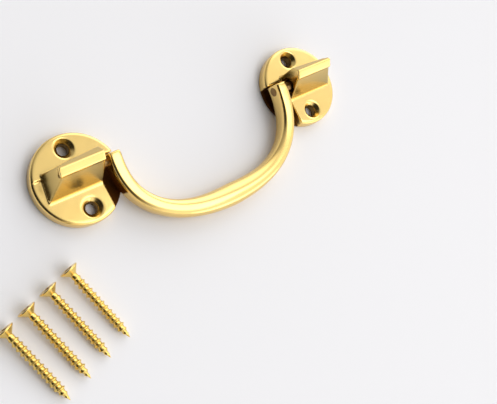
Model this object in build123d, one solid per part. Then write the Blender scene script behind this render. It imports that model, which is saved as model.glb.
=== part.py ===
from build123d import *
import math
import os

# Drop-bail lift handle: two mirror-image cast roses, a bail that turns on two pins, and four loose screws.
# The handle lies as it is fixed: X runs from the left rose to the right one, the bail hangs towards -Y,
# and Z stands out of the mounting surface. The origin is midway between the roses, on that surface.
# All sizes are in millimetres and degrees.

# Roses
rose_distance = 115.5          # centre of one rose to centre of the other
rose_radius = 18.5             # at the mounting face
rim_rounding = 1.4             # rounded upper edge of the disc
plate_thickness = 5.2
step_height = 0.6              # the rear half of the disc stands this much higher
step_line = 4.7                # where that higher half begins, behind the centre line

# Screw holes in the roses
hole_offset = 12.5             # each hole from the centre of its rose, along Y
hole_radius = 2.35
countersink_radius = 4.15
countersink_angle = 90.0

# Hood: the ridge that carries the pivot, drawn at its inner end
hood_inner_face = 8.7          # from the centre of the rose towards the other rose
hood_front_base = 5.0          # in front of the centre line
hood_nose_front = 0.7          # behind the centre line, as are the next three
hood_nose_top = 3.6
hood_back_top = 6.7
hood_back_base = 6.4
nose_front_height = 17.0       # heights above the mounting surface
nose_top_height = 20.0
back_top_height = 16.4
hood_outer_back_top = 4.4      # the back of the hood draws in to this at its outer end
hood_outer_back_height = 19.3
hood_outer_front_foot = 14.9   # outer end of the hood, measured away from the other rose
hood_outer_back_foot = 13.2
hood_outer_nose = 10.2
nose_lip = 0.6                 # the nose stands this far proud of the hood
nose_rounding = 0.55
nose_root = 1.8                # how deep the nose's bead reaches into the hood

# Recess beside the hood, where the arm of the bail turns, up to the step in the disc
recess_floor = 1.5             # above the mounting surface

# Pivot
pivot_back = 1.0               # behind the centre line
pivot_height = 8.8
pin_radius = 2.0
pin_clearance = 0.05
pin_end_gap = 0.5
pin_chamfer = 0.3
pin_proud = 0.3                # the riveted end stands this far out of the arm
bore_depth = 7.0
bore_mouth_radius = 3.0
bore_mouth_depth = 0.8
press_interference = 0.01

# Bail
arm_gap = 3.2                  # between the hood's inner face and the arm
arm_width = 5.8                # along the pin
arm_depth = 8.8                # out of the surface
arm_tail = 2.75                # the square end of the arm, beyond the pin's axis
bend_width = 5.9               # what the section is drawn towards, round the bends
bend_depth = 8.0
bail_reach = 32.4              # from the pin's axis to the middle of the grip
bail_sag = 1.2                 # the bends lie this much nearer the surface than a straight line would
bail_squareness = 2.4          # 2 is an ellipse, more is squarer at the corners
grip_width = 9.6
grip_depth = 9.0
arm_corner = 0.17              # corner radius of the section, as a share of its smaller side
grip_corner = 0.46
sections_per_side = 9
rest_clearance = 0.2           # the grip lies this far off the mounting surface

# Screws
screw_length = 35.0
screw_head_radius = 3.8
screw_head_rim = 0.35
screw_core_radius = 1.35
screw_thread_radius = 2.0
screw_pitch = 2.2
screw_plain_neck = 0.9
screw_point = 5.5
root_end_share = 0.30          # where the thread rises from the core and falls back to it, as shares of the pitch
crest_start_share = 0.60
crest_end_share = 0.68
root_start_share = 0.98
recess_reach = 2.1             # cross recess in the head, from its middle to the end of a wing
recess_width = 1.0
recess_depth = 1.6
screw_count = 4
screw_spacing = 10.6
screw_group_x = -87.0          # middle of the loose group
screw_group_y = -51.0
screw_turn = 17.0              # of the points away from the -Y direction

# Worked out from the sizes above
half_distance = rose_distance / 2
arm_middle = half_distance - hood_inner_face - arm_gap - arm_width / 2
bail_drop = pivot_height - grip_depth / 2 - rest_clearance
bail_tilt = math.degrees(math.asin(bail_drop / bail_reach))
hood_profile_inner = [
    (-hood_front_base, 0.0),
    (-hood_front_base, plate_thickness),
    (hood_nose_front, nose_front_height),
    (hood_nose_top, nose_top_height),
    (hood_back_top, back_top_height),
    (hood_back_base, plate_thickness),
    (hood_back_base, 0.0),
]
hood_profile_outer = [
    (-hood_front_base, 0.0),
    (-hood_front_base, plate_thickness),
    (hood_nose_front, nose_front_height),
    (hood_nose_top, nose_top_height),
    (hood_outer_back_top, hood_outer_back_height),
    (hood_back_base, plate_thickness),
    (hood_back_base, 0.0),
]


def section_at(x, outline):
    """A face in the YZ plane at x, from (y, z) points."""
    return make_face(Polyline([(x, y, z) for y, z in outline], close=True))


def rose_disc():
    """The round plate, with its rounded rim and the slightly higher half behind the hood."""
    low = Cylinder(rose_radius, plate_thickness, align=(Align.CENTER, Align.CENTER, Align.MIN))
    low = fillet(low.edges().group_by(Axis.Z)[-1], rim_rounding)
    high = Cylinder(rose_radius, plate_thickness + step_height, align=(Align.CENTER, Align.CENTER, Align.MIN))
    high = fillet(high.edges().group_by(Axis.Z)[-1], rim_rounding)
    behind = Pos(0, step_line, 0) * Box(
        4 * rose_radius, 2 * rose_radius, 4 * plate_thickness, align=(Align.CENTER, Align.MIN, Align.CENTER)
    )
    return low + (high & behind)


def hood():
    """The ridge along the pivot's axis: a lofted block, cut to a slope at its outer end."""
    blank = loft(
        [section_at(-rose_radius, hood_profile_outer), section_at(hood_inner_face, hood_profile_inner)], ruled=True
    )
    slope = Plane(
        origin=(-hood_outer_front_foot, -hood_front_base, plate_thickness),
        x_dir=(hood_outer_front_foot - hood_outer_back_foot, hood_front_base + hood_back_base, 0),
        z_dir=Vector(hood_outer_front_foot - hood_outer_back_foot, hood_front_base + hood_back_base, 0).cross(
            Vector(
                hood_outer_front_foot - hood_outer_nose,
                hood_front_base + hood_nose_front,
                nose_front_height - plate_thickness,
            )
        ),
    )
    return split(blank, bisect_by=slope, keep=Keep.TOP)


def nose():
    """The rounded bead along the front of the hood's top, a little proud of it at the front and the outer end."""
    slant = Vector(0, hood_nose_top - hood_nose_front, nose_top_height - nose_front_height).normalized()
    outward = Vector(0, -slant.Z, slant.Y)
    front = Vector(0, hood_nose_front, nose_front_height)
    top = Vector(0, hood_nose_top, nose_top_height)
    corners = [front + outward * nose_lip, top, top - outward * nose_root, front - outward * nose_root]
    outline = [(corner.Y, corner.Z) for corner in corners]
    bead = extrude(
        section_at(-hood_outer_nose - nose_lip, outline), amount=hood_outer_nose + nose_lip + hood_inner_face,
        dir=(1, 0, 0),
    )
    return fillet(bead.edges().filter_by(Axis.X).group_by(Axis.Y)[0], nose_rounding)


def screw_hole(y):
    """A countersunk hole through the plate."""
    top = plate_thickness + (step_height if y > 0 else 0)
    half_angle = math.radians(countersink_angle / 2)
    cone_depth = (countersink_radius - hole_radius) / math.tan(half_angle)
    outline = [
        (0, -1),
        (hole_radius, -1),
        (hole_radius, top - cone_depth),
        (countersink_radius, top),
        (countersink_radius, top + 2),
        (0, top + 2),
    ]
    section = make_face(Polyline([(x, 0, z) for x, z in outline], close=True))
    return Pos(0, y, 0) * revolve(section, Axis.Z)


def pivot_bore():
    """The blind bore in the hood for the pin, with its wider mouth."""
    bore = Cylinder(pin_radius + pin_clearance, bore_depth, align=(Align.CENTER, Align.CENTER, Align.MIN))
    mouth = Cylinder(bore_mouth_radius, bore_mouth_depth, align=(Align.CENTER, Align.CENTER, Align.MIN))
    return Pos(hood_inner_face, pivot_back, pivot_height) * Rot(0, -90, 0) * (bore + mouth)


def left_rose_shape():
    """The left rose about its own centre; the other rose lies towards +X."""
    body = rose_disc() + hood() + nose()
    recess = Pos(hood_inner_face, step_line, recess_floor) * Box(
        2 * rose_radius, 3 * rose_radius, 4 * nose_top_height, align=(Align.MIN, Align.MAX, Align.MIN)
    )
    body -= recess
    for y in (hole_offset, -hole_offset):
        body -= screw_hole(y)
    body -= pivot_bore()
    return body


def curve_between(start, pull, end, share):
    """A smooth change from start to end that is drawn towards pull on its way."""
    rest = 1 - share
    return start * rest**2 + 2 * pull * rest * share + end * share**2


def bail_section(along, across, direction, width, depth, corner):
    """One rounded section of the bail, square to the middle line."""
    normal = Vector(-direction.Y, direction.X, 0)
    share = max(0.0, -across / bail_reach)
    sag = 4 * bail_sag * share * (1 - share)
    plane = Plane(origin=(along, across, -sag), x_dir=normal, z_dir=direction)
    return plane * RectangleRounded(width, depth, min(width, depth) * corner)


def bail_blank():
    """The bail lying flat, with the pin's axis on X and the grip towards -Y."""
    power = 2 / bail_squareness
    places = [(arm_middle, arm_tail, Vector(0, 1, 0), 0.0)]
    for i in range(sections_per_side + 1):
        turn = math.radians(90 * i / sections_per_side)
        x = arm_middle * math.cos(turn) ** power
        y = -bail_reach * math.sin(turn) ** power
        if i == 0:
            direction = Vector(0, 1, 0)
        elif i == sections_per_side:
            direction = Vector(1, 0, 0)
            x = 0.0
        else:
            slope_x = arm_middle * math.cos(turn) ** (power - 1) * math.sin(turn)
            slope_y = bail_reach * math.sin(turn) ** (power - 1) * math.cos(turn)
            direction = Vector(slope_x, slope_y, 0).normalized()
        places.append((x, y, direction, i / sections_per_side))
    mirrored = [(-x, y, Vector(d.X, -d.Y, 0), blend) for x, y, d, blend in places[:-1]]
    sections = []
    for x, y, direction, blend in places + mirrored[::-1]:
        width = curve_between(arm_width, bend_width, grip_width, blend)
        depth = curve_between(arm_depth, bend_depth, grip_depth, blend)
        corner = arm_corner + (grip_corner - arm_corner) * blend
        sections.append(bail_section(x, y, direction, width, depth, corner))
    return loft(sections)


def bail_handle_shape():
    """The bail at rest, its two pin holes bored, turned down onto the surface."""
    bail = bail_blank()
    hole = Rot(0, 90, 0) * Cylinder(pin_radius - press_interference, 4 * half_distance)
    bail -= hole
    return Pos(0, pivot_back, pivot_height) * Rot(bail_tilt, 0, 0) * bail


def left_pin_shape():
    """The left pin, from the riveted end at the arm's inner side to its end in the bore."""
    inner_end = arm_middle - arm_width / 2 - pin_proud
    outer_end = half_distance - hood_inner_face + bore_depth - pin_end_gap
    pin = Cylinder(pin_radius, outer_end - inner_end, align=(Align.CENTER, Align.CENTER, Align.MIN))
    pin = chamfer(pin.edges(), pin_chamfer)
    return Pos(-outer_end, pivot_back, pivot_height) * Rot(0, 90, 0) * pin


def screw_shape():
    """A countersunk wood screw with a cross recess, point down on the Z axis with its head's top at zero."""
    cone_end = screw_head_rim + screw_head_radius - screw_core_radius
    outline = [(0, 0), (screw_head_radius, 0), (screw_head_radius, -screw_head_rim)]
    outline += [(screw_core_radius, -cone_end), (screw_core_radius, -cone_end - screw_plain_neck)]
    start = cone_end + screw_plain_neck
    turns = int((screw_length - screw_point - start) / screw_pitch)
    for i in range(turns):
        top = start + i * screw_pitch
        outline.append((screw_core_radius, -top - screw_pitch * root_end_share))
        outline.append((screw_thread_radius, -top - screw_pitch * crest_start_share))
        outline.append((screw_thread_radius, -top - screw_pitch * crest_end_share))
        outline.append((screw_core_radius, -top - screw_pitch * root_start_share))
    outline += [(screw_core_radius, -screw_length + screw_point), (0, -screw_length)]
    body = revolve(make_face(Polyline([(x, 0, z) for x, z in outline], close=True)), Axis.Z)
    wing = Box(2 * recess_reach, recess_width, 2 * recess_depth)
    return body - (wing + Rot(0, 0, 90) * wing)


def lying_screw(index):
    """A screw on its side, resting on the rim of its head and on the last full turn of its thread."""
    threaded_end = screw_length - screw_point
    lean = math.atan((screw_head_radius - screw_thread_radius) / (threaded_end - screw_head_rim))
    height = screw_head_radius * math.cos(lean) + screw_head_rim * math.sin(lean)
    lying = Pos(0, 0, height) * Rot(math.degrees(lean) - 90, 0, 0) * screw_shape()
    offset = (index - (screw_count - 1) / 2) * screw_spacing
    group = Pos(screw_group_x, screw_group_y, 0) * Rot(0, 0, screw_turn)
    return group * Pos(offset, screw_length / 2, 0) * lying


def main():
    os.makedirs("parts", exist_ok=True)
    left_rose = Pos(-half_distance, 0, 0) * left_rose_shape()
    left_pin = left_pin_shape()
    shapes = {
        "left_rose": left_rose,
        "right_rose": mirror(left_rose, about=Plane.YZ),
        "bail_handle": bail_handle_shape(),
        "left_pivot_pin": left_pin,
        "right_pivot_pin": mirror(left_pin, about=Plane.YZ),
    }
    for i in range(screw_count):
        shapes[f"screw_{i + 1}"] = lying_screw(i)
    for name, shape in shapes.items():
        export_step(shape, f"parts/{name}.step")


main()
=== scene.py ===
"""Drop bail lift handle: the finished brass pieces around the fixed frame, lying on a pale surface.

X runs from the left rose to the right one, the bail hangs towards -Y, and Z stands out of the mounting
surface.
"""

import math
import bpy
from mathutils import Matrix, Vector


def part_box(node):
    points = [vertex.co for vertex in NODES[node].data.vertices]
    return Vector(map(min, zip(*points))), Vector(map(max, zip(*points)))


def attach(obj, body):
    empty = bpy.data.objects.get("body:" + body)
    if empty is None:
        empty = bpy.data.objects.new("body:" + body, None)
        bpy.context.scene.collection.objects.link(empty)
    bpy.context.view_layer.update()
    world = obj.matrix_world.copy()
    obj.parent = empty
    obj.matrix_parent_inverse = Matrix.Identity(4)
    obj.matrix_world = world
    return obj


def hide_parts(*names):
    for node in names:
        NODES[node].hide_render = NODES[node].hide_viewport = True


bl_info = {
    "name": "Drop Bail Lift Handle",
    "version": (1, 0, 0),
    "blender": (4, 5, 0),
    "location": "3D View > Sidebar > Lift Handle",
    "description": "Builds a brass bail handle on two hooded roses, with its pins and loose screws",
    "category": "Add Mesh",
}

import bmesh
import bpy
import numpy as np
from mathutils import Matrix, Vector

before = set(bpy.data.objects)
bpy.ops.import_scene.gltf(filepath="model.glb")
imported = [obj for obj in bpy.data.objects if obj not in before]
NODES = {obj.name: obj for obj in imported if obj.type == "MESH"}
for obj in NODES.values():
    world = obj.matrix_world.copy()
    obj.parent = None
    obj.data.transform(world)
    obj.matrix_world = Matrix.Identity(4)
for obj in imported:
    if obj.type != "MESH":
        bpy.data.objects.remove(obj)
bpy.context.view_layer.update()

MM = 0.001
ROSES = ("left_rose", "right_rose")
PINS = ("left_pivot_pin", "right_pivot_pin")
SCREWS = ("screw_1", "screw_2", "screw_3", "screw_4")
WAVE_RADIANS = 20  # the phase that a wave texture goes through in one unit, at a scale of 1
CREASE_START = 0.08  # how hollow, as a share of the grain, counts as an inner corner


def length(name, description, default_mm):
    """A size for a user to change, given in millimetres and kept in metres."""
    return bpy.props.FloatProperty(
        name=name, description=description, default=default_mm * MM, min=0.0, precision=5, unit="LENGTH"
    )


def share(name, description, default):
    """A number from nothing to all."""
    return bpy.props.FloatProperty(
        name=name, description=description, default=default, min=0, max=1, subtype="FACTOR"
    )


def linear(code):
    """The linear colour, with alpha, of an sRGB hex code."""
    parts = [int(code[i : i + 2], 16) / 255 for i in (1, 3, 5)]
    return tuple(c / 12.92 if c <= 0.04045 else ((c + 0.055) / 1.055) ** 2.4 for c in parts) + (1.0,)


def colour(name, description, code):
    """A colour for a user to change, from its sRGB hex code."""
    return bpy.props.FloatVectorProperty(
        name=name, description=description, default=linear(code), size=4, min=0, max=1, subtype="COLOR"
    )


# Sizes and colours ---------------------------------------------------------------------------------


class HandleRoseSizes(bpy.types.PropertyGroup):
    """The two cast roses"""

    grain: length("Grain", "Spacing of the mesh that the cast shape is drawn with", 0.24)
    softening: bpy.props.IntProperty(
        name="Softening",
        description="How often the edges are eased, as buffing does",
        default=14,
        min=0,
        max=40,
    )
    hood_inner_face: length("Hood inner face", "From the middle of the rose to the hood's inner end", 8.7)
    recess_back: length("Recess back", "From the middle of the rose to the back wall of the recess", 4.7)
    plate_top: length("Plate top", "Thickness of the plate at the front", 5.2)
    hole_offset: length("Hole offset", "From the middle of the rose to each screw hole", 12.5)
    hole_radius: length("Hole radius", "Radius of the screw holes", 2.35)
    pivot_back: length("Pivot back", "From the middle of the rose back to the pivot's axis", 1.0)
    pivot_height: length("Pivot height", "From the mounting surface to the pivot's axis", 8.8)
    bore_mouth: length("Bore mouth", "Radius of the bore's wider mouth", 3.0)
    bore_depth: length("Bore depth", "Depth of the blind bore", 7.0)
    nose_foot: length("Nose foot", "Height of the nose's lower edge at the pivot's axis", 16.7)
    nose_back: length("Nose back", "From the middle of the rose back to the end of the polished nose", 3.9)


class HandleBailSizes(bpy.types.PropertyGroup):
    """The bail and the pins that it turns on"""

    arm_middle: length("Arm middle", "From the handle's middle to the middle of each arm", 42.95)
    reach: length("Reach", "From the pins' axis to the middle of the grip", 32.4)
    tail: length("Tail", "The square end of the arm beyond the pin's axis", 2.75)
    squareness: bpy.props.FloatProperty(
        name="Squareness",
        description="2 is an ellipse, more is squarer at the bends",
        default=2.4,
        min=1.5,
        max=8,
    )
    sag: length("Sag", "How much nearer the surface the bends lie", 1.2)
    arm_width: length("Arm width", "Along the pin", 5.8)
    arm_depth: length("Arm depth", "Out of the surface", 8.8)
    bend_width: length("Bend width", "What the section is drawn towards round the bends", 5.9)
    bend_depth: length("Bend depth", "What the section is drawn towards round the bends", 8.0)
    grip_width: length("Grip width", "Across the grip", 9.6)
    grip_depth: length("Grip depth", "Out of the surface", 9.0)
    rest_clearance: length("Rest clearance", "How far the grip lies off the surface", 0.2)
    arm_roundness: share("Arm roundness", "Section of the arms: 0 is square, 1 is round", 0.42)
    grip_roundness: share("Grip roundness", "Section of the grip: 0 is square, 1 is round", 1.0)
    end_roundness: share("End roundness", "Edges of the arms' ends: 0 is square, 1 is round", 0.26)
    pin_radius: length("Pin radius", "Radius of the pins", 1.98)
    pin_edge: length("Pin edge", "How far the riveted end is domed", 0.3)


class HandleScrewSizes(bpy.types.PropertyGroup):
    """The loose countersunk screws"""

    screw_length: length("Length", "From the top of the head to the point", 35.0)
    head_radius: length("Head radius", "Radius of the head", 3.8)
    head_rim: length("Head rim", "Straight edge of the head", 0.35)
    core_radius: length("Core radius", "Radius at the bottom of the thread", 1.35)
    thread_radius: length("Thread radius", "Radius at the crest of the thread", 2.0)
    pitch: length("Pitch", "From one turn of the thread to the next", 2.2)
    neck: length("Neck", "Plain part under the head", 0.9)
    point: length("Point", "Length of the tapered point", 5.5)
    recess_reach: length("Recess reach", "From the middle of the head to the end of a wing", 2.1)
    recess_width: length("Recess width", "Width of a wing of the cross recess", 1.0)
    recess_depth: length("Recess depth", "Depth of the cross recess", 1.6)
    spacing: length("Spacing", "From one loose screw to the next", 10.6)
    group_x: bpy.props.FloatProperty(
        name="Group X", description="Middle of the loose group", default=-87 * MM, unit="LENGTH"
    )
    group_y: bpy.props.FloatProperty(
        name="Group Y", description="Middle of the loose group", default=-51 * MM, unit="LENGTH"
    )
    turn: bpy.props.FloatProperty(
        name="Turn",
        description="Of the group, about the upright axis",
        default=math.radians(17),
        unit="ROTATION",
    )


class HandleColours(bpy.types.PropertyGroup):
    """Colours of the metals"""

    brass: colour("Brass", "Clean polished yellow brass", "#F2D388")
    brass_warm: colour("Warm brass", "Where the alloy runs a little redder", "#F0CB7A")
    # Deep brass is painted shade: it darkens the hood's flanks, most at their feet.
    brass_deep: colour("Deep brass", "Where the buffing wheel hardly reaches", "#AC955A")
    # Raw brass is the rough cast skin, and its dark colour is painted shade in the recess, bore, holes and
    # inner corners.
    brass_raw: colour("Raw brass", "As cast, with its dark skin", "#4A2A0E")
    screw_brass: colour("Screw brass", "Thread-rolled brass, a little greener", "#E6C868")
    steel: colour("Steel", "Turned mild steel, browned with age", "#8A6D45")
    floor: colour("Floor", "The pale surface", "#F6F5F7")


GROUPS = {
    "lift_handle_roses": HandleRoseSizes,
    "lift_handle_bail": HandleBailSizes,
    "lift_handle_screws": HandleScrewSizes,
    "lift_handle_colours": HandleColours,
}


# Node trees ----------------------------------------------------------------------------------------


def add(tree, kind, inputs=None, **settings):
    """A node with its settings. Each input is a value, a socket, or a node whose first output is meant."""
    node = tree.nodes.new(kind)
    for name, value in settings.items():
        setattr(node, name, value)
    for key, value in (inputs or {}).items():
        if isinstance(value, bpy.types.Node):
            value = value.outputs[0]
        if isinstance(value, bpy.types.NodeSocket):
            tree.links.new(value, node.inputs[key])
        else:
            node.inputs[key].default_value = value
    return node


def work_out(tree, kind, known, steps):
    """A node for each step: a name, an operation, and operands, each a number or an earlier step's name."""
    for name, operation, *operands in steps:
        found = [known[operand] if isinstance(operand, str) else operand for operand in operands]
        known[name] = add(tree, kind, dict(enumerate(found)), operation=operation, label=name)
    return known


def shape_tree(name, sizes):
    """An empty Geometry Nodes tree with one named input for each size, and the table of those inputs."""
    tree = bpy.data.node_groups.new(name, "GeometryNodeTree")
    tree.interface.new_socket("Geometry", in_out="OUTPUT", socket_type="NodeSocketGeometry")
    for label in sizes:
        tree.interface.new_socket(label, in_out="INPUT", socket_type="NodeSocketFloat")
    outputs = add(tree, "NodeGroupInput").outputs
    return tree, {label: outputs[label] for label in sizes}


def unit_grid(tree, around, along):
    """A grid whose points become a tube's: u goes once round it, and v from one end to the other."""
    counts = {"Vertices X": around + 1, "Vertices Y": along + 1}
    grid = add(tree, "GeometryNodeMeshGrid", {"Size X": 1.0, "Size Y": 1.0, **counts})
    place = add(tree, "ShaderNodeSeparateXYZ", {0: add(tree, "GeometryNodeInputPosition")})
    return grid, {"grid_x": place.outputs[0], "grid_y": place.outputs[1]}


def closed_tube(tree, grid, known, seam=2e-6):
    """The grid moved to the worked-out x, y and z, with its seam and its poles merged."""
    place = add(tree, "ShaderNodeCombineXYZ", {0: known["x"], 1: known["y"], 2: known["z"]})
    moved = add(tree, "GeometryNodeSetPosition", {"Geometry": grid, "Position": place})
    return add(tree, "GeometryNodeMergeByDistance", {"Geometry": moved, "Distance": seam})


def end_tree(tree, geometry, material):
    """The tree's last nodes: real geometry, smooth, with its material."""
    real = add(tree, "GeometryNodeRealizeInstances", {"Geometry": geometry})
    smooth = add(tree, "GeometryNodeSetShadeSmooth", {"Geometry": real})
    painted = add(tree, "GeometryNodeSetMaterial", {"Geometry": smooth, "Material": material})
    add(tree, "NodeGroupOutput", {"Geometry": painted})


def new_object(name, mesh):
    """An object of the scene at the origin."""
    made = bpy.data.objects.new(name, mesh)
    bpy.context.scene.collection.objects.link(made)
    return made


def plain_mesh(made):
    """The object's mesh with its modifiers worked in, and the modifiers removed."""
    bpy.context.view_layer.update()
    depsgraph = bpy.context.evaluated_depsgraph_get()
    mesh = bpy.data.meshes.new_from_object(
        made.evaluated_get(depsgraph), preserve_all_data_layers=True, depsgraph=depsgraph
    )
    made.modifiers.clear()
    made.data = mesh
    return mesh


def grown(name, tree, values):
    """An object with the plain mesh that the tree makes from these values."""
    made = new_object(name, bpy.data.meshes.new(name))
    modifier = made.modifiers.new(name, "NODES")
    modifier.node_group = tree
    for item in tree.interface.items_tree:
        if item.in_out == "INPUT":
            modifier[item.identifier] = values[item.name]
    outward(plain_mesh(made))
    return made


def outward(mesh):
    """Turns the faces of a closed mesh outwards."""
    work = bmesh.new()
    work.from_mesh(mesh)
    bmesh.ops.recalc_face_normals(work, faces=work.faces)
    if work.calc_volume(signed=True) < 0:
        bmesh.ops.reverse_faces(work, faces=work.faces)
    work.to_mesh(mesh)
    work.free()


# Materials -----------------------------------------------------------------------------------------


def new_material(name):
    """An empty material, its tree, and the object's own coordinates."""
    made = bpy.data.materials.new(name)
    made.use_nodes = True
    made.node_tree.nodes.clear()
    place = add(made.node_tree, "ShaderNodeTexCoord").outputs["Object"]
    return made, made.node_tree, place


def end_material(tree, surface):
    """Links the surface to the material's output."""
    add(tree, "ShaderNodeOutputMaterial", {"Surface": surface})


def per_metre(spacing_mm):
    """A noise scale whose features are about this far apart."""
    return 1 / (spacing_mm * MM)


def buffed_marks(tree, place, spacing_mm, run_mm, turn):
    """Fine straight marks from a buffing wheel: this far apart and this long, turned about the axes.

    Real ones are too fine to show in the render, so they are drawn coarser.
    """
    turned = add(tree, "ShaderNodeMapping", {"Vector": place, "Rotation": turn})
    scale = (per_metre(run_mm), per_metre(spacing_mm), per_metre(spacing_mm))
    drawn = add(tree, "ShaderNodeMapping", {"Vector": turned, "Scale": scale})
    return add(tree, "ShaderNodeTexNoise", {"Vector": drawn, "Scale": 1.0, "Detail": 2.0, "Roughness": 0.6})


def cast_polished_brass(colours):
    """Yellow brass, sand cast, its face ground flat and buffed.

    The face is a soft mirror with slow waves and a haze of fine marks. The flanks of the hood are a little
    rougher and darkened with painted shade, most of all at their feet. The recess, bore, hole walls, inner
    corners and back keep the rougher, grainy skin of the casting, and their dark colour is painted shade.
    The casting's grain is drawn coarser than real sand leaves it, so that it shows.
    """
    made, tree, place = new_material("cast_polished_brass")
    # The as-cast layer marks the rough cast skin, whose dark colour is painted shade.
    raw = add(tree, "ShaderNodeAttribute", attribute_name="as_cast").outputs["Fac"]
    drift = add(tree, "ShaderNodeTexNoise", {"Vector": place, "Scale": per_metre(14), "Detail": 2.0})
    brasses = {6: tuple(colours.brass), 7: tuple(colours.brass_warm)}
    clean = add(tree, "ShaderNodeMix", {"Factor": drift, **brasses}, data_type="RGBA")
    # The flank layer mixes in the deep brass as painted shade on the hood's flanks.
    flank = add(tree, "ShaderNodeAttribute", attribute_name="flank").outputs["Fac"]
    polished_and_deep = {6: clean.outputs[2], 7: tuple(colours.brass_deep)}
    toned = add(tree, "ShaderNodeMix", {"Factor": flank, **polished_and_deep}, data_type="RGBA")
    # Painted shade: the raw brass darkens the recess, bore, hole walls and inner corners.
    toned_and_raw = {6: toned.outputs[2], 7: tuple(colours.brass_raw)}
    base = add(tree, "ShaderNodeMix", {"Factor": raw, **toned_and_raw}, data_type="RGBA")
    marks = buffed_marks(tree, place, 0.16, 7.0, (0, 0, math.radians(24)))
    haze = add(tree, "ShaderNodeTexNoise", {"Vector": place, "Scale": per_metre(5), "Detail": 3.0})
    known = work_out(
        tree,
        "ShaderNodeMath",
        {"raw": raw, "flank": flank, "haze": haze.outputs[0], "marks": marks.outputs[0]},
        [
            ("hazy", "MULTIPLY_ADD", "haze", 0.12, 0.12),
            ("marked", "MULTIPLY_ADD", "marks", 0.06, "hazy"),
            ("flanked", "MULTIPLY_ADD", "flank", 0.05, "marked"),
            ("rough", "MULTIPLY_ADD", "raw", 0.30, "flanked"),
        ],
    )
    waves = add(tree, "ShaderNodeTexNoise", {"Vector": place, "Scale": per_metre(9), "Detail": 1.0})
    grit = add(tree, "ShaderNodeTexNoise", {"Vector": place, "Scale": per_metre(0.6), "Detail": 3.0})
    waved = add(tree, "ShaderNodeBump", {"Height": waves, "Strength": 0.35, "Distance": 0.12 * MM})
    line = {"Height": marks, "Strength": 0.20, "Distance": 0.006 * MM}
    lined = add(tree, "ShaderNodeBump", {**line, "Normal": waved})
    sand = {"Height": grit, "Strength": raw, "Distance": 0.12 * MM}
    grainy = add(tree, "ShaderNodeBump", {**sand, "Normal": lined})
    surface = add(
        tree,
        "ShaderNodeBsdfPrincipled",
        {"Base Color": base.outputs[2], "Metallic": 1.0, "Roughness": known["rough"], "Normal": grainy},
    )
    end_material(tree, surface)
    return made


def buffed_bright_brass(colours):
    """The same brass, held by hand against a mop wheel until it is a soft mirror.

    It shows broad bright and dark bands, with hairlines along the grip.
    """
    made, tree, place = new_material("buffed_bright_brass")
    drift = add(tree, "ShaderNodeTexNoise", {"Vector": place, "Scale": per_metre(18), "Detail": 2.0})
    brasses = {6: tuple(colours.brass), 7: tuple(colours.brass_warm)}
    base = add(tree, "ShaderNodeMix", {"Factor": drift, **brasses}, data_type="RGBA")
    marks = buffed_marks(tree, place, 0.2, 9.0, (0, 0, 0))
    haze = add(tree, "ShaderNodeTexNoise", {"Vector": place, "Scale": per_metre(6), "Detail": 3.0})
    known = work_out(
        tree,
        "ShaderNodeMath",
        {"haze": haze.outputs[0], "marks": marks.outputs[0]},
        [("hazy", "MULTIPLY_ADD", "haze", 0.06, 0.14), ("rough", "MULTIPLY_ADD", "marks", 0.04, "hazy")],
    )
    waves = add(tree, "ShaderNodeTexNoise", {"Vector": place, "Scale": per_metre(11), "Detail": 1.0})
    waved = add(tree, "ShaderNodeBump", {"Height": waves, "Strength": 0.3, "Distance": 0.10 * MM})
    line = {"Height": marks, "Strength": 0.15, "Distance": 0.005 * MM}
    lined = add(tree, "ShaderNodeBump", {**line, "Normal": waved})
    surface = add(
        tree,
        "ShaderNodeBsdfPrincipled",
        {"Base Color": base.outputs[2], "Metallic": 1.0, "Roughness": known["rough"], "Normal": lined},
    )
    end_material(tree, surface)
    return made


def rolled_screw_brass(colours):
    """Brass wire, headed and thread-rolled, then tumbled: duller than the handle, with a fine pickled grain.

    The real grain is too fine to show in the render, so it is drawn coarser.
    """
    made, tree, place = new_material("rolled_screw_brass")
    grain = add(tree, "ShaderNodeTexNoise", {"Vector": place, "Scale": per_metre(0.5), "Detail": 3.0})
    base = add(
        tree,
        "ShaderNodeMix",
        {"Factor": grain, 6: tuple(colours.screw_brass), 7: tuple(colours.brass_warm)},
        data_type="RGBA",
    )
    steps = [("rough", "MULTIPLY_ADD", "grain", 0.16, 0.14)]
    known = work_out(tree, "ShaderNodeMath", {"grain": grain.outputs[0]}, steps)
    dents = add(tree, "ShaderNodeBump", {"Height": grain, "Strength": 0.25, "Distance": 0.03 * MM})
    surface = add(
        tree,
        "ShaderNodeBsdfPrincipled",
        {"Base Color": base.outputs[2], "Metallic": 1.0, "Roughness": known["rough"], "Normal": dents},
    )
    end_material(tree, surface)
    return made


def turned_steel(colours):
    """Mild steel rod, turned and parted off, then browned with age: rings from the tool about its axis.

    Real rings are too fine to show in the render, so they are drawn about 2.2 mm apart.
    """
    ring_spacing_mm = 2.199115
    ring_scale = per_metre(ring_spacing_mm) * math.tau / WAVE_RADIANS
    made, tree, place = new_material("turned_steel")
    rings = add(
        tree,
        "ShaderNodeTexWave",
        {"Vector": place, "Scale": ring_scale, "Distortion": 0.6, "Detail": 1.0},
        wave_type="BANDS",
        bands_direction="X",
    )
    spots = add(tree, "ShaderNodeTexNoise", {"Vector": place, "Scale": per_metre(1.2), "Detail": 3.0})
    steps = [("rough", "MULTIPLY_ADD", "spots", 0.2, 0.22)]
    known = work_out(tree, "ShaderNodeMath", {"spots": spots.outputs[0]}, steps)
    grooves = add(tree, "ShaderNodeBump", {"Height": rings, "Strength": 0.3, "Distance": 0.01 * MM})
    surface = add(
        tree,
        "ShaderNodeBsdfPrincipled",
        {"Base Color": tuple(colours.steel), "Metallic": 1.0, "Roughness": known["rough"], "Normal": grooves},
    )
    end_material(tree, surface)
    return made


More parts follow.
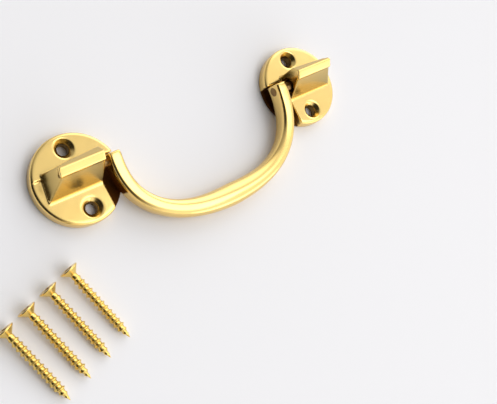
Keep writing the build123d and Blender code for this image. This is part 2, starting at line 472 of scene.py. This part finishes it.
def smooth_paper(colours):
    """Matt white paper for the surface. Its real tooth is too fine to show, so it is drawn coarser."""
    made, tree, place = new_material("smooth_paper")
    tooth = add(tree, "ShaderNodeTexNoise", {"Vector": place, "Scale": per_metre(0.8), "Detail": 2.0})
    bump = add(tree, "ShaderNodeBump", {"Height": tooth, "Strength": 0.1, "Distance": 0.02 * MM})
    look = {"Base Color": tuple(colours.floor), "Roughness": 0.9, "Normal": bump}
    surface = add(tree, "ShaderNodeBsdfPrincipled", look)
    end_material(tree, surface)
    return made


# Pieces --------------------------------------------------------------------------------------------


def merged_copy(node):
    """A copy of a node's mesh in millimetres, with its loose triangles joined up."""
    mesh = NODES[node].data.copy()
    mesh.materials.clear()
    work = bmesh.new()
    work.from_mesh(mesh)
    bmesh.ops.remove_doubles(work, verts=work.verts, dist=1e-6)
    work.to_mesh(mesh)
    work.free()
    mesh.transform(Matrix.Scale(1 / MM, 4))
    return mesh


def ramp(values, start, end):
    """0 at start and 1 at end, evenly between."""
    return np.clip((values - start) / (end - start), 0, 1)


def read_points(mesh):
    """The mesh's points, one row each."""
    points = np.empty(len(mesh.vertices) * 3)
    mesh.vertices.foreach_get("co", points)
    return points.reshape(-1, 3)


def neighbour_mean(values, edges):
    """For each point, the mean of its neighbours' values, one column at a time."""
    here, there = np.concatenate([edges, edges[:, ::-1]]).T
    size = len(values)
    count = np.bincount(here, minlength=size)
    sums = [np.bincount(here, weights=column[there], minlength=size) for column in values.T]
    return np.stack(sums, axis=1) / count[:, None]


def hollowness(points, normals, edges, grain):
    """How far each point lies under its neighbours, as a share of the grain: more in an inner corner."""
    return ((neighbour_mean(points, edges) - points) * normals).sum(axis=1) / grain


def ease_edges(mesh, rounds, grain, pull=0.5, spread=0.8, spread_rounds=2):
    """Rounds the outer edges as buffing does and leaves the inner corners sharp.

    Returns how much each point belongs to an inner corner, from 0 to 1.
    """
    points = read_points(mesh)
    normals = np.empty(len(points) * 3)
    mesh.vertex_normals.foreach_get("vector", normals)
    normals = normals.reshape(-1, 3)
    edges = np.empty(len(mesh.edges) * 2, dtype=np.int64)
    mesh.edges.foreach_get("vertices", edges)
    edges = edges.reshape(-1, 2)
    free = (hollowness(points, normals, edges, grain) < CREASE_START)[:, None]
    for _ in range(rounds):
        points += pull * free * (neighbour_mean(points, edges) - points)
    mesh.vertices.foreach_set("co", points.ravel())
    mesh.update()
    hollow = hollowness(points, normals, edges, grain)
    crease = ramp(hollow, CREASE_START / 3, CREASE_START)[:, None]
    for _ in range(spread_rounds):
        crease = np.maximum(crease, spread * neighbour_mean(crease, edges))
    return crease[:, 0]


def write_layer(mesh, name, values):
    """Keeps a number for each point, for a material to read."""
    mesh.attributes.new(name, "FLOAT", "POINT").data.foreach_set("value", values.astype(np.float32))


def mark_finishes(mesh, sizes, crease, centre_x, inner_side):
    """Writes two layers for the material: where the casting is raw, and the flanks of its hood, both darkened
    there as painted shade.

    The recess, bore, walls of the holes, inner corners and back were never polished: they are rougher,
    and their dark colour is painted shade. The flanks are a little rougher and get painted shade, most of
    all at their feet.
    """
    edge = 0.25 * MM  # width over which one finish goes into the next
    recess_fade = 2 * MM
    # How far the hole walls are darkened as painted shade.
    hole_rawness = 0.7
    nose_slope = 0.5  # fall of the nose's lower edge for each length further back
    # The flanks' painted shade: this share of it from the nose's foot up, and all of it at the plate top.
    least_unreached = 0.43  # at the height of the nose's foot and above it
    x, y, z = read_points(mesh).T
    x = (x - centre_x) * inner_side
    recess = ramp(x, sizes.hood_inner_face - edge, sizes.hood_inner_face + edge)
    recess *= ramp(z, sizes.plate_top, sizes.plate_top - recess_fade)
    recess *= ramp(y, sizes.recess_back + edge, sizes.recess_back)
    from_pivot = np.hypot(y - sizes.pivot_back, z - sizes.pivot_height)
    bore = ramp(from_pivot, sizes.bore_mouth + edge, sizes.bore_mouth - edge)
    bore *= ramp(x, sizes.hood_inner_face + edge, sizes.hood_inner_face - edge)
    bore *= x > sizes.hood_inner_face - sizes.bore_depth - edge
    from_hole = np.hypot(x, np.abs(y) - sizes.hole_offset)
    holes = hole_rawness * ramp(from_hole, sizes.hole_radius + 2 * edge, sizes.hole_radius)
    back = ramp(z, edge, edge / 2)
    # The as-cast layer: rough cast skin in the recess, bore, holes, inner corners and back, darkened as
    # painted shade.
    write_layer(mesh, "as_cast", np.maximum.reduce([recess, bore, holes, back, crease]))
    sloped_height = z + nose_slope * (y - sizes.pivot_back)
    below_nose = ramp(sloped_height, sizes.nose_foot + 2 * edge, sizes.nose_foot)
    behind_nose = ramp(y, sizes.nose_back, sizes.nose_back + 2 * edge)
    above_plate = ramp(z, sizes.plate_top + 3 * edge, sizes.plate_top + 6 * edge)
    towards_foot = ramp(z, sizes.nose_foot, sizes.plate_top)
    unreached = least_unreached + (1 - least_unreached) * towards_foot
    # The flank layer is painted shade on the hood's flanks, strongest at their feet.
    write_layer(mesh, "flank", above_plate * np.maximum(below_nose, behind_nose) * unreached)


class HANDLE_OT_roses(bpy.types.Operator):
    """Cast roses: the frame's shape with its edges eased as grinding and buffing leave them"""

    bl_idname = "lift_handle.roses"
    bl_label = "Roses"

    def execute(self, context):
        sizes = context.scene.lift_handle_roses
        material = cast_polished_brass(context.scene.lift_handle_colours)
        for node, inner_side in zip(ROSES, (1, -1)):
            rose = new_object("cast_" + node, merged_copy(node))
            drawn = rose.modifiers.new("grain", "REMESH")
            drawn.mode = "VOXEL"
            drawn.voxel_size = sizes.grain / MM
            drawn.use_smooth_shade = True
            mesh = plain_mesh(rose)
            crease = ease_edges(mesh, sizes.softening, sizes.grain / MM)
            mesh.transform(Matrix.Scale(MM, 4))
            low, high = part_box(node)
            mark_finishes(mesh, sizes, crease, (low[0] + high[0]) / 2, inner_side)
            mesh.materials.append(material)
            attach(rose, "roses")
            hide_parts(node)
        return {"FINISHED"}


def bail_tree(material, around=96, along=264):
    """The bail: a section that goes from square arms to a round grip, along a squared-off half ellipse."""
    sizes = ["Arm middle", "Reach", "Tail", "Squareness", "Sag"]
    sizes += ["Arm width", "Bend width", "Grip width", "Arm depth", "Bend depth", "Grip depth"]
    sizes += ["Arm roundness", "Grip roundness", "End roundness"]
    tree, inputs = shape_tree("bail", sizes)
    grid, known = unit_grid(tree, around, along)
    known.update(inputs)
    end_turn = 0.32  # radians of turn past each pin that draw and close the arm's tail
    half_pi = math.pi / 2
    work_out(
        tree,
        "ShaderNodeMath",
        known,
        [
            # along the path: turn is 0 at the middle of the grip and a quarter turn at each pin
            ("turn", "MULTIPLY", "grid_y", math.pi + 2 * end_turn),
            ("from_grip", "ABSOLUTE", "turn"),
            ("on_path", "MINIMUM", "from_grip", half_pi),
            ("blend", "MULTIPLY_ADD", "on_path", -1 / half_pi, 1.0),
            ("side", "SIGN", "turn"),
            ("across", "SINE", "on_path"),
            ("down", "COSINE", "on_path"),
            ("down_safe", "MAXIMUM", "down", 0.0),
            ("power", "DIVIDE", 2.0, "Squareness"),
            ("normal_power", "SUBTRACT", 2.0, "power"),
            ("x_share", "POWER", "across", "power"),
            ("y_share", "POWER", "down_safe", "power"),
            # outward normal of the path
            ("nx_raw", "POWER", "across", "normal_power"),
            ("ny_raw", "POWER", "down_safe", "normal_power"),
            ("nx_pull", "DIVIDE", "nx_raw", "Arm middle"),
            ("ny_pull", "DIVIDE", "ny_raw", "Reach"),
            ("nx_square", "MULTIPLY", "nx_pull", "nx_pull"),
            ("n_square", "MULTIPLY_ADD", "ny_pull", "ny_pull", "nx_square"),
            ("n_length", "SQRT", "n_square"),
            ("nx", "DIVIDE", "nx_pull", "n_length"),
            ("ny", "DIVIDE", "ny_pull", "n_length"),
            # width and depth of the section
            ("w_bend", "SUBTRACT", "Bend width", "Arm width"),
            ("w_grip", "SUBTRACT", "Grip width", "Bend width"),
            ("w_first", "MULTIPLY_ADD", "w_bend", "blend", "Arm width"),
            ("w_last", "MULTIPLY_ADD", "w_grip", "blend", "Bend width"),
            ("w_change", "SUBTRACT", "w_last", "w_first"),
            ("width", "MULTIPLY_ADD", "w_change", "blend", "w_first"),
            ("d_bend", "SUBTRACT", "Bend depth", "Arm depth"),
            ("d_grip", "SUBTRACT", "Grip depth", "Bend depth"),
            ("d_first", "MULTIPLY_ADD", "d_bend", "blend", "Arm depth"),
            ("d_last", "MULTIPLY_ADD", "d_grip", "blend", "Bend depth"),
            ("d_change", "SUBTRACT", "d_last", "d_first"),
            ("depth", "MULTIPLY_ADD", "d_change", "blend", "d_first"),
            # the closed end of each arm
            ("past_pin", "SUBTRACT", "from_grip", half_pi),
            ("past_safe", "MAXIMUM", "past_pin", 0.0),
            ("end_angle", "MULTIPLY", "past_safe", half_pi / end_turn),
            ("end_sine", "SINE", "end_angle"),
            ("end_cosine", "COSINE", "end_angle"),
            ("end_cosine_safe", "MAXIMUM", "end_cosine", 0.0),
            ("tail_share", "POWER", "end_sine", "End roundness"),
            ("end_scale", "POWER", "end_cosine_safe", "End roundness"),
            ("half_width", "MULTIPLY", "width", 0.5),
            ("half_depth", "MULTIPLY", "depth", 0.5),
            ("a", "MULTIPLY", "half_width", "end_scale"),
            ("b", "MULTIPLY", "half_depth", "end_scale"),
            # round the section
            ("around", "MULTIPLY", "grid_x", 2 * math.pi),
            ("cosine", "COSINE", "around"),
            ("sine", "SINE", "around"),
            ("cosine_size", "ABSOLUTE", "cosine"),
            ("sine_size", "ABSOLUTE", "sine"),
            ("cosine_side", "SIGN", "cosine"),
            ("sine_side", "SIGN", "sine"),
            ("round_change", "SUBTRACT", "Grip roundness", "Arm roundness"),
            ("roundness", "MULTIPLY_ADD", "round_change", "blend", "Arm roundness"),
            ("out_share", "POWER", "cosine_size", "roundness"),
            ("up_share", "POWER", "sine_size", "roundness"),
            ("out_signed", "MULTIPLY", "out_share", "cosine_side"),
            ("up_signed", "MULTIPLY", "up_share", "sine_side"),
            ("out", "MULTIPLY", "out_signed", "a"),
            ("up", "MULTIPLY", "up_signed", "b"),
            # the point itself
            ("x_middle", "MULTIPLY", "x_share", "Arm middle"),
            ("x_half", "MULTIPLY_ADD", "nx", "out", "x_middle"),
            ("x", "MULTIPLY", "x_half", "side"),
            ("tail_y", "MULTIPLY", "tail_share", "Tail"),
            ("y_down", "MULTIPLY", "y_share", "Reach"),
            ("y_out", "MULTIPLY_ADD", "ny", "out", "y_down"),
            ("y", "SUBTRACT", "tail_y", "y_out"),
            # the sag: 4 s (1 - s) is nothing at the pins and at the grip, and 1 half way
            ("y_left", "SUBTRACT", 1.0, "y_share"),
            ("sag_shape", "MULTIPLY", "y_share", "y_left"),
            ("sag_size", "MULTIPLY", "Sag", 4.0),
            ("sagged", "MULTIPLY", "sag_shape", "sag_size"),
            ("z", "SUBTRACT", "up", "sagged"),
        ],
    )
    end_tree(tree, closed_tube(tree, grid, known), material)
    return tree


class HANDLE_OT_bail(bpy.types.Operator):
    """The bail, from one square arm round the grip to the other"""

    bl_idname = "lift_handle.bail"
    bl_label = "Bail"

    def execute(self, context):
        sizes = context.scene.lift_handle_bail
        rose = context.scene.lift_handle_roses
        tree = bail_tree(buffed_bright_brass(context.scene.lift_handle_colours))
        values = {
            "Arm middle": sizes.arm_middle,
            "Reach": sizes.reach,
            "Tail": sizes.tail,
            "Squareness": sizes.squareness,
            "Sag": sizes.sag,
            "Arm width": sizes.arm_width,
            "Bend width": sizes.bend_width,
            "Grip width": sizes.grip_width,
            "Arm depth": sizes.arm_depth,
            "Bend depth": sizes.bend_depth,
            "Grip depth": sizes.grip_depth,
            "Arm roundness": sizes.arm_roundness,
            "Grip roundness": sizes.grip_roundness,
            "End roundness": sizes.end_roundness,
        }
        bail = grown("buffed_bail", tree, values)
        drop = rose.pivot_height - sizes.grip_depth / 2 - sizes.rest_clearance
        pivot = Matrix.Translation((0, rose.pivot_back, rose.pivot_height))
        bail.data.transform(pivot @ Matrix.Rotation(math.asin(drop / sizes.reach), 4, "X"))
        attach(bail, "bail")
        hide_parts("bail_handle")
        return {"FINISHED"}


def turned_mesh(name, outline, segments):
    """A solid of revolution about the X axis from (x, radius) points, closed at both ends."""
    work = bmesh.new()
    rings = []
    for x, radius in outline:
        if radius == 0:
            rings.append([work.verts.new((x, 0, 0))])
            continue
        angles = [2 * math.pi * i / segments for i in range(segments)]
        rings.append([work.verts.new((x, radius * math.cos(a), radius * math.sin(a))) for a in angles])
    for one, two in zip(rings, rings[1:]):
        for i in range(segments):
            j = (i + 1) % segments
            corners = [one[i % len(one)], one[j % len(one)], two[j % len(two)], two[i % len(two)]]
            work.faces.new(list(dict.fromkeys(corners)))
    mesh = bpy.data.meshes.new(name)
    work.to_mesh(mesh)
    work.free()
    outward(mesh)
    mesh.shade_smooth()
    return mesh


class HANDLE_OT_pins(bpy.types.Operator):
    """The pivot pins, with a domed riveted end on the arm's inner side and a chamfer in the bore"""

    bl_idname = "lift_handle.pins"
    bl_label = "Pins"

    def execute(self, context):
        sizes = context.scene.lift_handle_bail
        rose = context.scene.lift_handle_roses
        material = turned_steel(context.scene.lift_handle_colours)
        for node in PINS:
            low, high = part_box(node)
            inner, outer = sorted((low[0], high[0]), key=abs)
            outline = self.outline(inner, outer, sizes.pin_radius, sizes.pin_edge)
            pin = new_object("turned_" + node, turned_mesh(node, outline, segments=64))
            pin.data.transform(Matrix.Translation((0, rose.pivot_back, rose.pivot_height)))
            pin.data.set_sharp_from_angle(angle=math.radians(35))
            pin.data.materials.append(material)
            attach(pin, "bail")
            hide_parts(node)
        return {"FINISHED"}

    def outline(self, inner, outer, radius, edge):
        """(x, radius) points from the middle of the riveted dome to the middle of the chamfered end."""
        way = math.copysign(1, outer - inner)
        dome_shares = (0, 0.25, 0.5, 0.7, 0.82, 0.9, 0.95, 0.98, 1.0)  # of the radius, closer near the rim
        points = []
        for out in dome_shares:
            fall = 1 - math.sqrt(max(0, 1 - out**4))  # a squarish dome, steep only near its rim
            points.append((inner + way * edge * fall, radius * out))
        return points + [(outer - way * edge, radius), (outer, radius - edge), (outer, 0)]


def screw_tree(material, around=40, along=300):
    """A countersunk wood screw, point down: a turned outline with a helical thread and a cross recess."""
    sizes = ["Length", "Head radius", "Head rim", "Core radius", "Thread radius", "Pitch", "Neck", "Point"]
    sizes += ["Recess reach", "Recess width", "Recess depth"]
    tree, inputs = shape_tree("wood_screw", sizes)
    grid, known = unit_grid(tree, around, along)
    known.update(inputs)
    top_share = 0.04  # share of the grid that closes the top of the head
    blend = 0.25 * MM  # rounding between the head's cone and the core
    point_shape = 0.8  # 1 is a straight cone, less is fuller
    flank_fall, crest_height = -3.4, 1.12  # of a thread's profile, cut off at 0 and 1
    work_out(
        tree,
        "ShaderNodeMath",
        known,
        [
            ("u", "ADD", "grid_x", 0.5),
            ("v", "ADD", "grid_y", 0.5),
            ("down_grid", "SUBTRACT", "v", top_share),
            ("down_share", "DIVIDE", "down_grid", 1 - top_share),
            ("down_safe", "MAXIMUM", "down_share", 0.0),
            ("from_top", "MULTIPLY", "down_safe", "Length"),
            ("on_top", "DIVIDE", "v", top_share),
            ("top_scale", "MINIMUM", "on_top", 1.0),
            # head, core and point
            ("below_rim", "SUBTRACT", "from_top", "Head rim"),
            ("cone_drop", "MAXIMUM", "below_rim", 0.0),
            ("cone", "SUBTRACT", "Head radius", "cone_drop"),
            ("shank", "SMOOTH_MAX", "cone", "Core radius", blend),
            ("left", "SUBTRACT", "Length", "from_top"),
            ("left_share", "DIVIDE", "left", "Point"),
            ("left_round", "POWER", "left_share", point_shape),
            ("taper", "MULTIPLY", "left_round", "Core radius"),
            ("outline", "MINIMUM", "shank", "taper"),
            ("head_outline", "MULTIPLY", "outline", "top_scale"),
            # thread
            ("cone_end", "SUBTRACT", "Head radius", "Core radius"),
            ("neck_end", "ADD", "cone_end", "Neck"),
            ("past_neck", "SUBTRACT", "from_top", "neck_end"),
            ("fade_in", "DIVIDE", "past_neck", "Pitch"),
            ("fade_in_safe", "MAXIMUM", "fade_in", 0.0),
            ("fade_in_end", "MINIMUM", "fade_in_safe", 1.0),
            ("fade_out", "MINIMUM", "left_share", 1.0),
            ("turns", "DIVIDE", "from_top", "Pitch"),
            ("helix", "SUBTRACT", "turns", "u"),
            ("phase", "FRACT", "helix"),
            ("from_crest", "SUBTRACT", "phase", 0.5),
            ("from_crest_size", "ABSOLUTE", "from_crest"),
            ("flank", "MULTIPLY_ADD", "from_crest_size", flank_fall, crest_height),
            ("flank_safe", "MAXIMUM", "flank", 0.0),
            ("crest", "MINIMUM", "flank_safe", 1.0),
            ("thread_depth", "SUBTRACT", "Thread radius", "Core radius"),
            ("thread", "MULTIPLY", "crest", "thread_depth"),
            ("thread_in", "MULTIPLY", "thread", "fade_in_end"),
            ("thread_out", "MULTIPLY", "thread_in", "fade_out"),
            ("radius", "ADD", "head_outline", "thread_out"),
            ("angle", "MULTIPLY", "u", 2 * math.pi),
            ("cosine", "COSINE", "angle"),
            ("sine", "SINE", "angle"),
            ("x", "MULTIPLY", "radius", "cosine"),
            ("y", "MULTIPLY", "radius", "sine"),
            ("z", "MULTIPLY", "from_top", -1.0),
            # cross recess
            ("wing_length", "MULTIPLY", "Recess reach", 2.0),
            ("wing_depth", "MULTIPLY", "Recess depth", 2.0),
        ],
    )
    body = closed_tube(tree, grid, known)
    wing_sides = {0: known["wing_length"], 1: known["Recess width"], 2: known["wing_depth"]}
    wing_size = add(tree, "ShaderNodeCombineXYZ", wing_sides)
    wing = add(tree, "GeometryNodeMeshCube", {"Size": wing_size})
    crossing = add(tree, "GeometryNodeTransform", {"Geometry": wing, "Rotation": (0, 0, math.pi / 2)})
    cut = body
    for cutter in (wing, crossing):
        meshes = {"Mesh 1": cut, "Mesh 2": cutter}
        cut = add(tree, "GeometryNodeMeshBoolean", meshes, operation="DIFFERENCE", solver="EXACT")
    end_tree(tree, cut, material)
    return tree


class HANDLE_OT_screws(bpy.types.Operator):
    """The four loose screws, each lying on the rim of its head and the end of its thread"""

    bl_idname = "lift_handle.screws"
    bl_label = "Loose screws"

    def execute(self, context):
        sizes = context.scene.lift_handle_screws
        tree = screw_tree(rolled_screw_brass(context.scene.lift_handle_colours))
        values = {
            "Length": sizes.screw_length,
            "Head radius": sizes.head_radius,
            "Head rim": sizes.head_rim,
            "Core radius": sizes.core_radius,
            "Thread radius": sizes.thread_radius,
            "Pitch": sizes.pitch,
            "Neck": sizes.neck,
            "Point": sizes.point,
            "Recess reach": sizes.recess_reach,
            "Recess width": sizes.recess_width,
            "Recess depth": sizes.recess_depth,
        }
        threaded_end = sizes.screw_length - sizes.point
        lean = math.atan((sizes.head_radius - sizes.thread_radius) / (threaded_end - sizes.head_rim))
        height = sizes.head_radius * math.cos(lean) + sizes.head_rim * math.sin(lean)
        group = Matrix.Translation((sizes.group_x, sizes.group_y, 0)) @ Matrix.Rotation(sizes.turn, 4, "Z")
        roll_degrees = 37  # from each screw to the next, so that no two recesses stand alike
        for i, node in enumerate(SCREWS):
            screw = grown("threaded_" + node, tree, values)
            screw.data.set_sharp_from_angle(angle=math.radians(40))
            offset = (i - (len(SCREWS) - 1) / 2) * sizes.spacing
            place = Matrix.Translation((offset, sizes.screw_length / 2, height))
            roll = Matrix.Rotation(math.radians(roll_degrees * i), 4, "Z")
            screw.data.transform(group @ place @ Matrix.Rotation(lean - math.pi / 2, 4, "X") @ roll)
            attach(screw, "loose_" + node)
            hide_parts(node)
        return {"FINISHED"}


# Stage ---------------------------------------------------------------------------------------------


def look_along(place, towards):
    """The world matrix of a lamp or camera at a place that looks at a point."""
    place, towards = Vector(place), Vector(towards)
    return Matrix.Translation(place) @ (towards - place).to_track_quat("-Z", "Y").to_matrix().to_4x4()


def softbox(name, direction, distance, width, height, power):
    """A soft rectangular lamp that faces the handle from a direction."""
    aim = (0, -0.01, 0)  # near the middle of the handle
    data = bpy.data.lights.new(name, "AREA")
    data.shape = "RECTANGLE"
    data.size, data.size_y = width, height
    data.energy = power
    lamp = bpy.data.objects.new(name, data)
    bpy.context.scene.collection.objects.link(lamp)
    lamp.matrix_world = look_along(Vector(direction).normalized() * distance, aim)


class HANDLE_OT_stage(bpy.types.Operator):
    """The pale surface, the studio lamps and the camera"""

    bl_idname = "lift_handle.stage"
    bl_label = "Stage"

    def execute(self, context):
        scene = context.scene
        self.lay_floor(scene.lift_handle_colours)
        self.light(scene)
        self.place_camera(scene)
        scene.view_settings.view_transform = "Standard"
        return {"FINISHED"}

    def lay_floor(self, colours):
        """A broad flat sheet just under the mounting surface."""
        half, height = 3.0, -0.05 * MM
        mesh = bpy.data.meshes.new("pale_surface")
        signs = [(-1, -1), (1, -1), (1, 1), (-1, 1)]
        corners = [(x * half, y * half, height) for x, y in signs]
        mesh.from_pydata(corners, [], [(0, 1, 2, 3)])
        mesh.materials.append(smooth_paper(colours))
        new_object("pale_surface", mesh)

    def light(self, scene):
        """A pale room with a bright window side and a dark side, and two softboxes."""
        world = bpy.data.worlds.new("pale_room")
        world.use_nodes = True
        tree = world.node_tree
        tree.nodes.clear()
        way = add(tree, "ShaderNodeTexCoord").outputs["Generated"]
        sides = {  # each side's direction, the cosines that it changes between, and its strengths there
            "front": ((0.35, -0.93, 0.10), (-1, 1), (0.42, 1.30)),
            "dark": ((-0.86, -0.10, 0.50), (0.40, 0.85), (1.0, 0.03)),
            "window": ((0.72, 0.65, 0.38), (0.76, 1.0), (1.0, 3.6)),
        }
        known = {side: self.gradient(tree, way, *shape) for side, shape in sides.items()}
        steps = [("sided", "MULTIPLY", "front", "dark"), ("room", "MULTIPLY", "sided", "window")]
        room = work_out(tree, "ShaderNodeMath", known, steps)["room"]
        backdrop = 0.96  # the strength straight from the camera, so that the background stays pale
        seen = add(tree, "ShaderNodeLightPath").outputs["Is Camera Ray"]
        strength = add(tree, "ShaderNodeMix", {"Factor": seen, 2: room, 3: backdrop}, data_type="FLOAT")
        sky = add(tree, "ShaderNodeBackground", {"Color": (1, 1, 1, 1), "Strength": strength})
        add(tree, "ShaderNodeOutputWorld", {"Surface": sky})
        scene.world = world
        softbox("overhead_softbox", (0.33, -0.31, 0.89), distance=0.9, width=0.60, height=0.46, power=1.5)
        softbox("front_softbox", (0.50, -0.86, 0.16), distance=2.5, width=2.1, height=0.75, power=7.0)

    def gradient(self, tree, way, towards, cosines, strengths):
        """A smooth change of strength with the angle from a direction."""
        ways = {0: way, 1: Vector(towards).normalized()}
        facing = add(tree, "ShaderNodeVectorMath", ways, operation="DOT_PRODUCT").outputs["Value"]
        limits = {"From Min": cosines[0], "From Max": cosines[1]}
        limits |= {"To Min": strengths[0], "To Max": strengths[1]}
        return add(tree, "ShaderNodeMapRange", {"Value": facing, **limits}, interpolation_type="SMOOTHSTEP")

    def place_camera(self, scene):
        """Above the left rose, looking across the handle, rolled so that it runs up to the right."""
        turn, rise, roll = -1.5462, 1.0267, 1.07796  # in radians
        target = Vector((8.2, -37.2, 0)) * MM
        distance = 345.0 * MM
        back = Vector((math.sin(turn) * math.cos(rise), -math.cos(turn) * math.cos(rise), math.sin(rise)))
        level = Vector((math.cos(turn), math.sin(turn), 0))
        upright = back.cross(level)
        right = math.cos(roll) * level + math.sin(roll) * upright
        up = -math.sin(roll) * level + math.cos(roll) * upright
        data = bpy.data.cameras.new("handle_camera")
        data.sensor_width = 36.0  # in millimetres, as is the focal length
        data.lens = 58.232354
        data.clip_start = 0.01
        camera = bpy.data.objects.new("handle_camera", data)
        scene.collection.objects.link(camera)
        turned = Matrix((right, up, back)).transposed().to_4x4()
        camera.matrix_world = Matrix.Translation(target + back * distance) @ turned
        scene.camera = camera


class HANDLE_PT_panel(bpy.types.Panel):
    """Lists the pieces and their sizes"""

    bl_idname = "HANDLE_PT_panel"
    bl_label = "Lift Handle"
    bl_space_type = "VIEW_3D"
    bl_region_type = "UI"
    bl_category = "Lift Handle"

    def draw(self, context):
        for operator in OPERATORS:
            self.layout.operator(operator.bl_idname)
        for group in GROUPS:
            box = self.layout.box()
            box.label(text=GROUPS[group].__doc__)
            for name in GROUPS[group].__annotations__:
                box.prop(getattr(context.scene, group), name)


OPERATORS = (HANDLE_OT_roses, HANDLE_OT_bail, HANDLE_OT_pins, HANDLE_OT_screws, HANDLE_OT_stage)


def register():
    for group in (*GROUPS.values(), *OPERATORS, HANDLE_PT_panel):
        bpy.utils.register_class(group)
    for name, group in GROUPS.items():
        setattr(bpy.types.Scene, name, bpy.props.PointerProperty(type=group))


def unregister():
    for name in GROUPS:
        delattr(bpy.types.Scene, name)
    for group in reversed((*GROUPS.values(), *OPERATORS, HANDLE_PT_panel)):
        bpy.utils.unregister_class(group)


def main():
    register()
    bpy.ops.lift_handle.roses()
    bpy.ops.lift_handle.bail()
    bpy.ops.lift_handle.pins()
    bpy.ops.lift_handle.screws()
    bpy.ops.lift_handle.stage()


if __name__ == "__main__":
    main()
